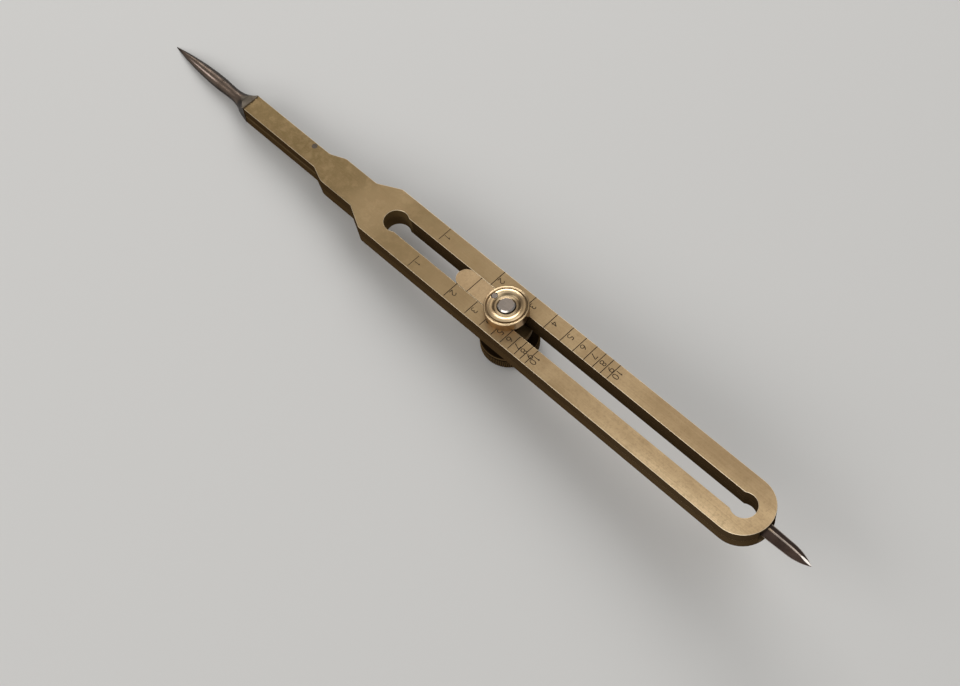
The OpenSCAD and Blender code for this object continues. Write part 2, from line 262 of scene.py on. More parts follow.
far_watts = soft_box("far_box", (-0.50, 0.40, 0.42), (0.55, 0.24), 5.6)
near_watts = soft_box("near_box", (0.30, -0.70, 0.42), (1.20, 0.24), 2.3)
left_watts = soft_box("left_box", (-0.32, -0.50, 0.52), (0.60, 0.27), 2.9)
high_watts = soft_box("high_box", (0.18, 0.24, 0.62), (0.80, 0.40), 1.35)
world = bpy.data.worlds.new("even_sky")
world.use_nodes = True
world.node_tree.nodes["Background"].inputs["Color"].default_value = (1, 1, 1, 1)
world.node_tree.nodes["Background"].inputs["Strength"].default_value = SKY_STRENGTH
scene.world = world
scene.view_settings.view_transform = "Standard"
print("soft box power in watts:", [round(w, 2) for w in (far_watts, near_watts, left_watts, high_watts)])

# %% [markdown]
# ## Straight grain
# Flat brass is rubbed lengthwise on abrasive cloth, which leaves fine parallel streaks.
# An image of streaks would need unwrapping. Noise that is squeezed across the rubbing
# direction gives the same streaks on any face, because it is read in the piece's own
# space and moves with it.

# %% Build the grain group
def build_grain():
    group, enter, leave = start_group(
        "Straight grain",
        [("Scale", VECTOR, (90, 4200, 4200)), ("Rotation", VECTOR, (0, 0, 0))],
        [("Streaks", FLOAT), ("Height", FLOAT)],
    )
    wires = {"Vector": own_place(group), "Rotation": enter["Rotation"], "Scale": enter["Scale"]}
    along = put(group, "ShaderNodeMapping", wires).outputs[0]
    fine = mottling(group, along, 1.0, 3.0)
    broad = mottling(group, along, 0.22)
    both = calc(group, "ADD", calc(group, "MULTIPLY", fine, 0.6), calc(group, "MULTIPLY", broad, 0.4))
    group.links.new(span(group, both, 0.36, 0.64), leave["Streaks"])
    group.links.new(fine, leave["Height"])
    return group


grain_group = build_grain()
print("group:", grain_group.name)

# %% [markdown]
# ## Tarnish
# Handled brass goes dull in clouds: soft patches with finer mottling inside them. Two
# noises could be mixed, but one at a low scale with several octaves gives both. The
# cover value says how much of the surface is dulled, and the shift moves the clouds.

# %% Build the tarnish group
def build_tarnish():
    group, enter, leave = start_group(
        "Tarnish",
        [
            ("Scale", FLOAT, 120.0),
            ("Cover", FLOAT, 0.5),
            ("Softness", FLOAT, 0.25),
            ("Shift", VECTOR, (0, 0, 0)),
        ],
        [("Mask", FLOAT)],
    )
    wires = {0: own_place(group), 1: enter["Shift"]}
    moved = put(group, "ShaderNodeVectorMath", wires, operation="ADD").outputs[0]
    clouds = mottling(group, moved, enter["Scale"], 6.0, Roughness=0.62, Distortion=0.3)
    bare = calc(group, "SUBTRACT", 1.0, enter["Cover"])
    low = calc(group, "SUBTRACT", bare, enter["Softness"])
    high = calc(group, "ADD", bare, enter["Softness"])
    group.links.new(span(group, clouds, low, high), leave["Mask"])
    return group


tarnish_group = build_tarnish()
print("group:", tarnish_group.name)

# %% [markdown]
# ## Edge wear
# Fingers and cloths polish the corners first, so every edge carries a thin bright line.
# The Bevel node bends the normal close to an edge. Where the bent normal and the true
# one part company, there is an edge, and a little noise breaks the line up. Pointiness
# finds edges too, but it needs a dense mesh, and these flat faces have few points.

# %% Build the edge wear group
def build_edge_wear():
    group, enter, leave = start_group(
        "Edge wear",
        [("Radius", FLOAT, 0.12 * MM), ("Breaks", FLOAT, 900.0)],
        [("Edge", FLOAT)],
    )
    bent = put(group, "ShaderNodeBevel", {"Radius": enter["Radius"]}, samples=6).outputs[0]
    true = put(group, "ShaderNodeNewGeometry").outputs["True Normal"]
    agree = put(group, "ShaderNodeVectorMath", {0: bent, 1: true}, operation="DOT_PRODUCT").outputs["Value"]
    edge = span(group, agree, 0.99, 0.86)
    breaks = span(group, mottling(group, own_place(group), enter["Breaks"], 3.0), 0.3, 0.6, 0.35, 1.0)
    group.links.new(calc(group, "MULTIPLY", edge, breaks), leave["Edge"])
    return group


edge_group = build_edge_wear()
print("group:", edge_group.name)

# %% [markdown]
# ## Dirt in hollows
# Polish and grime collect where a cloth can't reach: in turned grooves, notches and the
# corners of the slot. It could be painted on, but that needs an image for each piece.
# The Ambient Occlusion node measures how shut in a place is. It looks at the piece by
# itself, so the dirt stays put when the pieces move.

# %% Build the dirt group
def build_dirt():
    group, enter, leave = start_group(
        "Dirt in hollows",
        [("Reach", FLOAT, 1.0 * MM), ("Start", FLOAT, 0.9), ("Full", FLOAT, 0.4)],
        [("Dirt", FLOAT)],
    )
    wires = {"Distance": enter["Reach"]}
    open_sky = put(group, "ShaderNodeAmbientOcclusion", wires, samples=8, only_local=True).outputs["AO"]
    group.links.new(span(group, open_sky, enter["Start"], enter["Full"]), leave["Dirt"])
    return group


dirt_group = build_dirt()
print("group:", dirt_group.name)

# %% [markdown]
# ## Stray scratches
# A tool that has lain in drawers has hairline scratches in all directions. Three sets
# of strongly squeezed noise, turned against each other, leave thin lines where the noise
# peaks. Cutting each scratch would be wasted work at this size, so they are only relief.

# %% Build the scratch group
def build_scratches():
    group, enter, leave = start_group("Stray scratches", [("Scale", FLOAT, 1.0)], [("Scratch", FLOAT)])
    place = own_place(group)
    sets = []
    for turn, stretch in ((0.5, (160, 2600, 1500)), (-0.9, (140, 2300, 1500)), (1.3, (120, 2000, 1500))):
        wires = {"Vector": place, "Rotation": (0, 0, turn), "Scale": stretch}
        squeezed = put(group, "ShaderNodeMapping", wires).outputs[0]
        sets.append(span(group, mottling(group, squeezed, enter["Scale"]), 0.66, 0.74))
    joined = calc(group, "MAXIMUM", calc(group, "MAXIMUM", sets[0], sets[1]), sets[2])
    group.links.new(joined, leave["Scratch"])
    return group


scratch_group = build_scratches()
print("group:", scratch_group.name)

# %% [markdown]
# ## Lathe marks
# Turned pieces carry fine rings round the axis of the lathe. The distance from the
# pivot axis, which is the frame's Z axis, is fed into noise, so the rings stay round on
# every face of the cap, the washer and the nut. The group also tells how far a place
# lies towards one side of the axis, so that the cap can be given painted shade on some sides.

# %% Build the lathe group
def build_lathe():
    group, enter, leave = start_group(
        "Lathe marks",
        [("Rings", FLOAT, 9000.0), ("Side", VECTOR, (-0.68, 0.73, 0))],
        [("Streaks", FLOAT), ("Height", FLOAT), ("Radius", FLOAT), ("Towards", FLOAT)],
    )
    place = own_place(group)
    axes = put(group, "ShaderNodeSeparateXYZ", {0: place}).outputs
    flat = put(group, "ShaderNodeCombineXYZ", {0: axes[0], 1: axes[1]}).outputs[0]
    radius = put(group, "ShaderNodeVectorMath", {0: flat}, operation="LENGTH").outputs["Value"]
    ring = calc(group, "MULTIPLY", radius, enter["Rings"])
    level = calc(group, "MULTIPLY", axes[2], enter["Rings"])
    wander = mottling(group, place, 300.0)
    ring_place = put(group, "ShaderNodeCombineXYZ", {0: ring, 1: level, 2: wander}).outputs[0]
    marks = mottling(group, ring_place, 1.0, 3.0)
    group.links.new(span(group, marks, 0.36, 0.64), leave["Streaks"])
    group.links.new(marks, leave["Height"])
    group.links.new(radius, leave["Radius"])
    outward = put(group, "ShaderNodeVectorMath", {0: flat}, operation="NORMALIZE").outputs[0]
    wires = {0: outward, 1: enter["Side"]}
    towards = put(group, "ShaderNodeVectorMath", wires, operation="DOT_PRODUCT").outputs["Value"]
    group.links.new(towards, leave["Towards"])
    return group


lathe_group = build_lathe()
print("group:", lathe_group.name)

# %% [markdown]
# ## Starting a finish
# Each finish below is one material with a Principled shader. This helper makes the
# empty material, and a second one places a group in it with its own values.

# %% Define the material helpers
def start_finish(name, metallic=1.0, gloss=0.5):
    """Gloss is the shine of whatever part of the finish isn't metal."""
    material = bpy.data.materials.new(name)
    material.use_nodes = True
    shader = material.node_tree.nodes["Principled BSDF"]
    shader.inputs["Metallic"].default_value = metallic
    shader.inputs["Specular IOR Level"].default_value = gloss
    return material, material.node_tree, shader.inputs


def use_group(tree, group, **values):
    """Places a group with its own values, and gives its outputs."""
    return put(tree, "ShaderNodeGroup", values, node_tree=group).outputs


print("material helpers ready")

# %% [markdown]
# ## Which way a face looks, and where it is
# Broad faces are rubbed and wiped, and sides are not, so most finishes treat them apart.
# The direction of a face in the piece's own space tells which it is. Wear that belongs
# to one end or one spot needs the place along an axis, or the distance to the spot.

# %% Define the side and place helpers
def facing(tree, axis):
    """How far a face looks along an axis of its piece: 0, 1 or 2 for X, Y or Z."""
    normal = put(tree, "ShaderNodeTexCoord").outputs["Normal"]
    return put(tree, "ShaderNodeSeparateXYZ", {0: normal}).outputs[axis]


def side_mask(tree, flat=0.75, steep=0.25):
    """1 on the sides and 0 on the broad faces."""
    return span(tree, calc(tree, "ABSOLUTE", facing(tree, 2)), flat, steep)


def share(tree, mask, amount):
    """Part of a mask. The amount is a number or another mask."""
    return calc(tree, "MULTIPLY", mask, amount)


def slope_mask(tree, flat, sloping):
    """1 on rounds and bevels, which lie between a side and a broad face."""
    level = calc(tree, "ABSOLUTE", facing(tree, 2))
    return share(tree, span(tree, level, 0.30, 0.55), span(tree, level, flat, sloping))


def place_along(tree, axis):
    """The place along an axis of the piece: 0, 1 or 2 for X, Y or Z."""
    return put(tree, "ShaderNodeSeparateXYZ", {0: own_place(tree)}).outputs[axis]


def away_from(tree, value, middle):
    """How far a value is from a middle one, whichever way."""
    return calc(tree, "ABSOLUTE", calc(tree, "SUBTRACT", value, middle))


def distance_to(tree, spot, place=None):
    """Distance from a place, or else from each place on the piece, to a spot."""
    if place is None:
        place = own_place(tree)
    return put(tree, "ShaderNodeVectorMath", {0: place, 1: spot}, operation="DISTANCE").outputs["Value"]


print("side and place helpers ready")

# %% [markdown]
# ## Layers of a finish
# Old metal is layer on layer: bare metal, tarnish, dirt, and bright edges on top. Each
# layer is a mask, a colour and a strength, so a finish can be read as a list from the
# bottom up. Roughness and height are sums of the same masks.

# %% Define the layer helpers
def lay_over(tree, colour, *layers):
    """Lays colours over a first one. A layer is a mask, a colour and a strength."""
    for mask, second, strength in layers:
        colour = tint(tree, share(tree, mask, strength), colour, second)
    return colour


def add_up(tree, base, *parts):
    """Adds parts of masks to a base value."""
    for mask, amount in parts:
        base = calc(tree, "ADD", base, share(tree, mask, amount))
    return base


def wire_up(tree, shader, colour, roughness, height=None, depth=0.0, strength=0.5):
    """Feeds a colour, a roughness and a fine relief into the shader."""
    tree.links.new(colour, shader["Base Color"])
    tree.links.new(roughness, shader["Roughness"])
    if height is not None:
        wires = {"Height": height, "Distance": depth, "Strength": strength}
        tree.links.new(put(tree, "ShaderNodeBump", wires).outputs[0], shader["Normal"])


print("layer helpers ready")

# %% [markdown]
# ## Wear and painted light on the broad faces of the legs
# The end towards the long points is browner and mottled. So are the rails beside the
# carriage, where fingers set it. Past the scale, a painted highlight brightens the near
# edge and painted shade dulls the far rail. Each kind of mark starts and ends at a place
# along the leg, so it is a mask over that stretch. Painting it on an image would not
# follow a change of size.

# %% Wear the broad faces
BRASS_BRIGHT = (0.575, 0.412, 0.233, 1)
BRASS_DULL = (0.430, 0.300, 0.162, 1)
BRASS_PATCH = (0.27, 0.180, 0.092, 1)
# Dark colour laid on the end of the legs towards the long points.
BRASS_DARK_END = (0.132, 0.091, 0.037, 1)
# Colour of the painted highlight on the near edge past the scale.
BRASS_PAINTED_HIGHLIGHT = (0.80, 0.600, 0.360, 1)
DARK_END_FULL_X = -0.062
DARK_END_NONE_X = 0.050
WORKED_X = 0.004
WORKED_FULL = 0.004
WORKED_NONE = 0.030
WIPED_X = -0.036
WIPED_REACH = 0.008
# The stretch along the leg that carries the painted highlight and the painted shade.
RAIL_LIGHT_NONE_X = 0.017
RAIL_LIGHT_FULL_X = 0.052
NEAR_HIGHLIGHT_BAND = (-3.2 * MM, -5.8 * MM)
# Where the painted shade on the far rail lies, and where it ends.
FAR_SHADE_BAND = (0.5 * MM, 4.5 * MM)
FAR_SHADE_END_X = 0.066
FAR_SHADE_FADE = 0.008
STAIN_PLACE = (-0.0079, 0.0025, 0.01142)
STAIN_REACH = 2.6 * MM


def wear_broad_faces(tree, colour, bright, wear, clouds, blotch):
    """Browns and wipes a colour, and paints a highlight on the near edge and shade on the far rail. Wear is
    the share of all that, from 0 to 1.
    """
    along = place_along(tree, 0)
    across = place_along(tree, 1)
    dark_end = span(tree, along, DARK_END_NONE_X, DARK_END_FULL_X)
    mottle = use_group(tree, tarnish_group, Scale=640.0, Cover=0.44, Softness=0.10, Shift=(3, 2, 1))
    worked = span(tree, away_from(tree, along, WORKED_X), WORKED_NONE, WORKED_FULL)
    wiped = span(tree, away_from(tree, along, WIPED_X), WIPED_REACH, 0.25 * WIPED_REACH)
    past_scale = span(tree, along, RAIL_LIGHT_NONE_X, RAIL_LIGHT_FULL_X)
    near = share(tree, past_scale, span(tree, across, *NEAR_HIGHLIGHT_BAND))
    far = share(tree, past_scale, span(tree, across, *FAR_SHADE_BAND))
    far = share(tree, far, span(tree, along, FAR_SHADE_END_X, FAR_SHADE_END_X - FAR_SHADE_FADE))
    stain = span(tree, distance_to(tree, STAIN_PLACE), STAIN_REACH, 0.3 * STAIN_REACH)
    colour = lay_over(
        tree, colour,
        # darker towards the long points
        (dark_end, BRASS_DARK_END, 0.95 * wear),
        (share(tree, dark_end, mottle["Mask"]), BRASS_DULL, 0.22 * wear),
        (share(tree, worked, clouds), BRASS_PATCH, 0.6 * wear),
        (wiped, bright, 0.20 * wear),
        # painted highlight along the near edge, past the scale
        (near, BRASS_PAINTED_HIGHLIGHT, 0.7 * wear),
        # painted shade on the far rail
        (far, BRASS_PATCH, 0.42 * wear),
        (share(tree, stain, blotch), BRASS_PATCH, 0.8 * wear),
    )
    return colour, dark_end


# The length over which the legs grow darker towards the long points.
print("browned by the hand over a length in mm:", round((DARK_END_NONE_X - DARK_END_FULL_X) / MM, 1))

# %% [markdown]
# ## Sides and edges of the legs
# The sides and the slot's walls were never rubbed down, so they have a thick brown skin,
# and their colour is made darker still as painted shade. Only the bored hole at the slot's
# end is a little brighter. The outer edges are worn to a bright line, fainter where the
# brass is brown, and the inner ones, where the two legs meet, are darkened as painted shade.
# Old polish leaves a ragged seam beside the steel. The sides could have a material of their
# own, but then each round would change colour at a hard line.

# %% Brown the sides
# Side colours: brown skin, made darker still as painted shade.
BRASS_SIDE_SKIN_SHADE = (0.038, 0.0205, 0.008, 1)
LOWER_SIDE_SKIN_SHADE = (0.050, 0.028, 0.0105, 1)
# Grime colour, also used for the painted shade along the inner edges.
BRASS_GRIME_AND_SHADE = (0.030, 0.018, 0.008, 1)
BRASS_EDGE = (1.0, 0.82, 0.56, 1)
HOLE_WALL = (0.120, 0.075, 0.030, 1)
HOLE_WIDEST = 2.6 * MM
OUTER_ZONE = (1.0 * MM, 1.8 * MM)
SEAM_WIDTH = 0.32 * MM
SEAM_RAGGED = 0.30 * MM
hole_edge = [v.co for v in nodes["upper_leg"].data.vertices if v.co.x < 0 and abs(v.co.y) < HOLE_WIDEST]
hole_middle = max(hole_edge, key=lambda place: abs(place.y)).x


def brown_sides(tree, colour, side, dark_end, specks):
    """Lays the sides, the hole, the edges and the seam over the colour of the faces."""
    along = place_along(tree, 0)
    flank = side_mask(tree)
    rounded = slope_mask(tree, 0.995, 0.95)
    outer = span(tree, away_from(tree, place_along(tree, 2), mid_z), *OUTER_ZONE)
    inner = calc(tree, "SUBTRACT", 1.0, outer)
    rim = share(tree, rounded, outer)
    edge = use_group(tree, edge_group, Radius=0.15 * MM)
    dirt = use_group(tree, dirt_group, Reach=2.2 * MM, Start=0.92, Full=0.45)
    flat_place = put(tree, "ShaderNodeCombineXYZ", {0: along, 1: place_along(tree, 1)}).outputs[0]
    off_hole = distance_to(tree, (hole_middle, 0, 0), flat_place)
    in_hole = share(tree, flank, span(tree, off_hole, 1.2 * HOLE_WIDEST, HOLE_WIDEST))
    ragged = add_up(tree, along, (specks, SEAM_RAGGED))
    seam_end = upper_low.x + SEAM_RAGGED
    colour = lay_over(
        tree, colour,
        # the sides: brown skin with painted shade
        (flank, side, 0.95),
        (dirt["Dirt"], BRASS_GRIME_AND_SHADE, 0.8),
        (in_hole, HOLE_WALL, 0.75),
        # painted shade on the inner rounds and edges, where the two legs meet
        (share(tree, rounded, inner), side, 0.75),
        (share(tree, edge["Edge"], inner), BRASS_GRIME_AND_SHADE, 0.8),
        (rim, BRASS_EDGE, span(tree, dark_end, 0.5, 1.0, 0.95, 0.6)),
        (span(tree, ragged, seam_end + SEAM_WIDTH, seam_end), BRASS_GRIME_AND_SHADE, 0.95),
    )
    return colour, flank, rim


print("hole at the slot's end, place along the leg in mm:", round(hole_middle / MM, 2))

# %% [markdown]
# ## Satin brass
# The metal of the legs is satin brass, dulled in clouds, with fine specks and streaks
# from the cloth. Tarnish is a thin skin that scatters light, so the finish is not all
# metal, and on the sides the metal is hidden. The sliding blocks were brushed across,
# and are spared the wear and the painted light of the broad faces.

# %% Mix the leg brass
GRAIN_ALONG = (90, 4200, 4200)
GRAIN_ACROSS = (3200, 260, 3200)
SLIDER_BRIGHT = (0.50, 0.354, 0.202, 1)
SLIDER_DULL = (0.40, 0.276, 0.152, 1)


def mix_leg_brass(name, grain_scale, bright, dull, side, wear):
    """Brass of a leg or a block. Wear is the share of the marks on the broad faces, worn and painted light
    alike.
    """
    material, tree, shader = start_finish(name, gloss=0.0)
    grain = use_group(tree, grain_group, Scale=grain_scale)
    scratch = use_group(tree, scratch_group)["Scratch"]
    clouds = use_group(tree, tarnish_group, Scale=95.0, Cover=0.5, Softness=0.22)["Mask"]
    blotch = use_group(tree, tarnish_group, Scale=420.0, Cover=0.38, Softness=0.12, Shift=(1, 2, 3))["Mask"]
    specks = use_group(tree, tarnish_group, Scale=2300.0, Cover=0.42, Softness=0.12, Shift=(2, 3, 1))["Mask"]
    colour = tint(tree, clouds, bright, dull)
    colour, dark_end = wear_broad_faces(tree, colour, bright, wear, clouds, blotch)
    colour = lay_over(
        tree, colour,
        (blotch, BRASS_PATCH, 0.34),
        (specks, BRASS_PATCH, 0.38),
        (grain["Streaks"], BRASS_PATCH, 0.25),
    )
    colour, flank, rim = brown_sides(tree, colour, side, dark_end, specks)
    tree.links.new(span(tree, flank, 0.0, 1.0, 0.78, 0.0), shader["Metallic"])
    rough = add_up(tree, 0.38, (grain["Streaks"], 0.10), (clouds, 0.08), (rim, -0.1))
    height = add_up(tree, grain["Height"], (scratch, -0.6), (specks, -0.5))
    wire_up(tree, shader, colour, rough, height, 0.012 * MM)
    return material


leg_brass = mix_leg_brass("upper_leg_satin", GRAIN_ALONG, BRASS_BRIGHT, BRASS_DULL, BRASS_SIDE_SKIN_SHADE, 1.0)
lower_brass = mix_leg_brass("lower_leg_satin", GRAIN_ALONG, BRASS_BRIGHT, BRASS_DULL, LOWER_SIDE_SKIN_SHADE, 1.0)
slider_brass = mix_leg_brass("slider_brushed", GRAIN_ACROSS, SLIDER_BRIGHT, SLIDER_DULL, BRASS_SIDE_SKIN_SHADE, 0.0)
print("finishes:", leg_brass.name, lower_brass.name, slider_brass.name)

# %% [markdown]
# ## Painted shade on the cap
# The cap's two sides between its bright far and near arcs are painted duller, and its
# right side darker, as painted shade. Dark circles are painted as well: round the stud, as
# the shadow in its gap; in the groove; and in the valley of the ring, as its shade. A circle
# is its radius, its half-width, its strength, and the share of it that is left on the near
# side.

# %% Paint shade on the cap
# Grime colour, also used for the cap's painted shade; the next two give the painted shade of its sides.
TURNED_GRIME_AND_SHADE = (0.05, 0.030, 0.013, 1)
CAP_SIDE_SHADE = (0.30, 0.195, 0.098, 1)
CAP_RIGHT_SHADE_SIDE = (0.73, 0.68, 0)
CAP_GROOVE_IN = 0.58 * MM
CIRCLE_HALF = 0.15 * MM
VALLEY_RADIUS = 2.50 * MM
STUD_HEAD = 1.0 * MM
cap_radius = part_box("top_cap")[1].x
head_start_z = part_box("top_cap")[1].z - STUD_HEAD
stud_radius = max(v.co.xy.length for v in nodes["clamp_stud"].data.vertices if v.co.z > head_start_z)
CAP_DARK_CIRCLES = (
    # painted shadow in the gap round the stud
    (stud_radius + 0.6 * CIRCLE_HALF, CIRCLE_HALF, 0.95, 1.0),
    (cap_radius - CAP_GROOVE_IN, CIRCLE_HALF, 0.5, 1.0),
    # painted shade in the valley of the ring, weak on the near side
    (VALLEY_RADIUS, 2.4 * CIRCLE_HALF, 0.62, 0.1),
)


def soil_cap(tree, colour, lathe):
    """Paints shade on two sides of the cap and on its right, and lays the dark circles."""
    lit_sides = span(tree, calc(tree, "ABSOLUTE", lathe["Towards"]), 0.35, 0.9)
    right = use_group(tree, lathe_group, Side=CAP_RIGHT_SHADE_SIDE)["Towards"]
    colour = lay_over(
        tree, colour,
        # painted shade between the bright far and near arcs
        (calc(tree, "SUBTRACT", 1.0, lit_sides), CAP_SIDE_SHADE, 0.8),
        # painted shade on the right side
        (span(tree, right, 0.45, 0.95), TURNED_GRIME_AND_SHADE, 0.35),
    )
    for circle, half, strength, near_share in CAP_DARK_CIRCLES:
        line = span(tree, away_from(tree, lathe["Radius"], circle), half, 0.4 * half)
        left = span(tree, lathe["Towards"], -0.75, -0.2, near_share, 1.0)
        colour = lay_over(tree, colour, (share(tree, line, left), TURNED_GRIME_AND_SHADE, strength))
    return colour


# Counts the painted dark circles of the cap.
print("circles of grime:", len(CAP_DARK_CIRCLES), "stud radius in mm:", round(stud_radius / MM, 2))

# %% [markdown]
# ## Turned brass
# The cap was polished on the lathe and still shines. The nut and the washer under the
# legs are never wiped, so they have gone brown, and their colours are made darker still as
# painted shade, for they lie in the shade under the legs. Only the crests of the nut's knurl
# are worn golden. The wall colour on upright faces is partly tarnish and partly painted
# shade. One function mixes all three from four colours: bright, dull, wall and worn edge.

# %% Mix the turned brass
CAP_COLOURS = ((0.96, 0.735, 0.455, 1), (0.77, 0.550, 0.307, 1), (0.60, 0.390, 0.205, 1), BRASS_EDGE)
NUT_RIB = (0.110, 0.068, 0.030, 1)
# Nut and washer colours: brown tarnish, made darker still as painted shade.
NUT_COLOURS_WITH_SHADE = ((0.020, 0.0115, 0.005, 1), (0.012, 0.007, 0.003, 1), (0.009, 0.005, 0.0022, 1), NUT_RIB)
WASHER_COLOURS_WITH_SHADE = ((0.24, 0.155, 0.072, 1), (0.13, 0.083, 0.038, 1), (0.10, 0.062, 0.028, 1), BRASS_EDGE)
KNURL_DEPTH = 0.18 * MM
nut_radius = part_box("thumb_nut")[1].y
NUT_CREST = (nut_radius - 0.75 * KNURL_DEPTH, nut_radius - 0.15 * KNURL_DEPTH)


def mix_turned_brass(
    name, colours, tarnished, roughness, grime, worn_share, metallic, gloss=0.0, crest=None, shaded_cap=False
):
    """Brass off the lathe. Crest is where a knurl is worn, from its side to its top."""
    bright, dull, wall, worn = colours
    material, tree, shader = start_finish(name, metallic, gloss)
    lathe = use_group(tree, lathe_group, Rings=7000.0)
    clouds = use_group(tree, tarnish_group, Scale=260.0, Cover=tarnished, Softness=0.2)["Mask"]
    specks = use_group(tree, tarnish_group, Scale=2100.0, Cover=0.4, Softness=0.12, Shift=(1, 3, 2))["Mask"]
    edge = use_group(tree, edge_group, Radius=0.08 * MM)
    dirt = use_group(tree, dirt_group, Reach=0.4 * MM, Start=0.75, Full=0.35)
    colour = lay_over(
        tree, tint(tree, clouds, bright, dull),
        (lathe["Streaks"], dull, 0.2),
        (specks, wall, 0.2),
        # upright walls: partly tarnish, partly painted shade
        (side_mask(tree, 0.45, 0.1), wall, 0.85),
        (edge["Edge"], worn, worn_share),
        (dirt["Dirt"], TURNED_GRIME_AND_SHADE, grime),
    )
    if crest:
        colour = lay_over(tree, colour, (span(tree, lathe["Radius"], *crest), worn, 0.9))
    # Painted shade and dark circles on the cap.
    if shaded_cap:
        colour = soil_cap(tree, colour, lathe)
    rough = add_up(tree, roughness, (lathe["Streaks"], 0.08), (clouds, 0.10))
    wire_up(tree, shader, colour, rough, add_up(tree, lathe["Height"], (specks, -0.5)), 0.006 * MM, 0.4)
    return material


cap_brass = mix_turned_brass(
    "cap_brass_polished", CAP_COLOURS, tarnished=0.35, roughness=0.27, grime=0.7, worn_share=0.35,
    metallic=1.0, gloss=0.2, shaded_cap=True,
)
nut_brass = mix_turned_brass(
    "nut_brass_dark", NUT_COLOURS_WITH_SHADE, tarnished=0.55, roughness=0.42, grime=0.8, worn_share=0.0,
    metallic=0.0, crest=NUT_CREST,
)
washer_brass = mix_turned_brass(
    "washer_brass_brown", WASHER_COLOURS_WITH_SHADE, tarnished=0.5, roughness=0.38, grime=0.7, worn_share=0.40,
    metallic=0.5,
)
print("finishes:", cap_brass.name, nut_brass.name, washer_brass.name)

# %% [markdown]
# ## Wear and painted light on the leaf of a long point
# The leaf is darkest at its tip. Its far side and the scoop before its root carry painted
# shade, and a painted highlight runs along one line on its near side. The far side is told
# by the direction of the face, so the painted shade follows the round of the leaf.

# %% Wear and shade the leaf
# Dark steel: the worn tip, and painted shade on steep sides, the far side and the scoop.
STEEL_DARK_AND_SHADE = (0.030, 0.024, 0.020, 1)
# Colour and place of the painted highlight line on the near side of the leaf.
STEEL_PAINTED_HIGHLIGHT = (0.95, 0.74, 0.65, 1)
TIP_FADE = 3.2 * MM
# Painted shade on the far side and in the scoop.
FAR_SIDE_SHADE = (-0.08, 0.32)
SCOOP_SHADE_PLACE = (-0.0756, -0.0017, 0.0105)
SCOOP_SHADE_REACH = 1.7 * MM
HIGHLIGHT_LINE = -0.56
HIGHLIGHT_MIDDLE = 9.6 * MM
HIGHLIGHT_REACH = 5.5 * MM


def wear_leaf(tree, colour):
    """Darkens the tip, paints shade on the far side and the scoop, and paints a highlight line."""
    reach = away_from(tree, place_along(tree, 0), long_tip_x)
    sideways = facing(tree, 1)
    line = span(tree, away_from(tree, sideways, HIGHLIGHT_LINE), 0.14, 0.03)
    stretch = span(tree, away_from(tree, reach, HIGHLIGHT_MIDDLE), HIGHLIGHT_REACH, 0.3 * HIGHLIGHT_REACH)
    scoop = span(tree, distance_to(tree, SCOOP_SHADE_PLACE), SCOOP_SHADE_REACH, 0.4 * SCOOP_SHADE_REACH)
    return lay_over(
        tree, colour,
        (span(tree, reach, TIP_FADE, 0.4 * TIP_FADE), STEEL_DARK_AND_SHADE, 0.75),
        # painted shade on the far side of the leaf
        (span(tree, sideways, *FAR_SIDE_SHADE), STEEL_DARK_AND_SHADE, 0.92),
        # painted highlight along the near side
        (share(tree, line, stretch), STEEL_PAINTED_HIGHLIGHT, 0.5),
        # painted shade in the scoop before the root
        (scoop, STEEL_DARK_AND_SHADE, 0.85),
    )


# Where the painted highlight line lies, from the tip.
print("rubbed line from the tip in mm:", round(HIGHLIGHT_MIDDLE / MM, 1), "give or take", HIGHLIGHT_REACH / MM)

# %% [markdown]
# ## Ground steel
# The points are carbon steel, ground lengthwise and gone dark, with brownish mottling.
# The leaf, its filed root, the short points' ridge and flanks and their worn tips differ
# in colour and in how much rust is left, so one function mixes them all. The ridge's light
# colour is a painted highlight, and the flanks' dark colour and the darkened steep sides are
# painted shade. The ridge is stained golden by braze where it leaves the brass.

# %% Mix the point steel
STEEL_RUST = (0.085, 0.050, 0.030, 1)
STEEL_BARE = (0.70, 0.655, 0.60, 1)
BRAZE_REACH = 1.8 * MM


def mix_point_steel(
    name, light, dark, rusty, roughness, streaked=0.3, shaded_sides=0.9, leaf=False, brazed=False
):
    """Steel of a point, between a light and a dark colour, with some rust."""
    material, tree, shader = start_finish(name)
    grain = use_group(tree, grain_group, Scale=(160, 5200, 5200))
    clouds = use_group(tree, tarnish_group, Scale=330.0, Cover=0.48, Softness=0.2)["Mask"]
    rust = use_group(tree, tarnish_group, Scale=1100.0, Cover=0.38, Softness=0.1, Shift=(3, 1, 2))["Mask"]
    colour = lay_over(
        tree, tint(tree, clouds, light, dark),
        (rust, STEEL_RUST, rusty),
        (grain["Streaks"], dark, streaked),
        # painted shade on the steep sides
        (side_mask(tree, 0.55, 0.15), STEEL_DARK_AND_SHADE, shaded_sides),
    )
    if brazed:
        stained = span(tree, place_along(tree, 0), upper_high.x + BRAZE_REACH, upper_high.x)
        colour = lay_over(tree, colour, (stained, BRASS_DULL, 0.6))
    if leaf:
        colour = wear_leaf(tree, colour)
    rough = add_up(tree, roughness, (clouds, 0.12), (rust, 0.4 * rusty))
    wire_up(tree, shader, colour, rough, add_up(tree, grain["Height"], (rust, -rusty)), 0.015 * MM)
    return material


leaf_steel = mix_point_steel(
    "leaf_steel_ground", (0.165, 0.122, 0.095, 1), (0.110, 0.082, 0.063, 1), 0.4, 0.38,
    streaked=0.12, leaf=True,
)
root_steel = mix_point_steel(
    "root_steel_filed", (0.122, 0.102, 0.079, 1), (0.075, 0.062, 0.047, 1), 0.25, 0.42
)
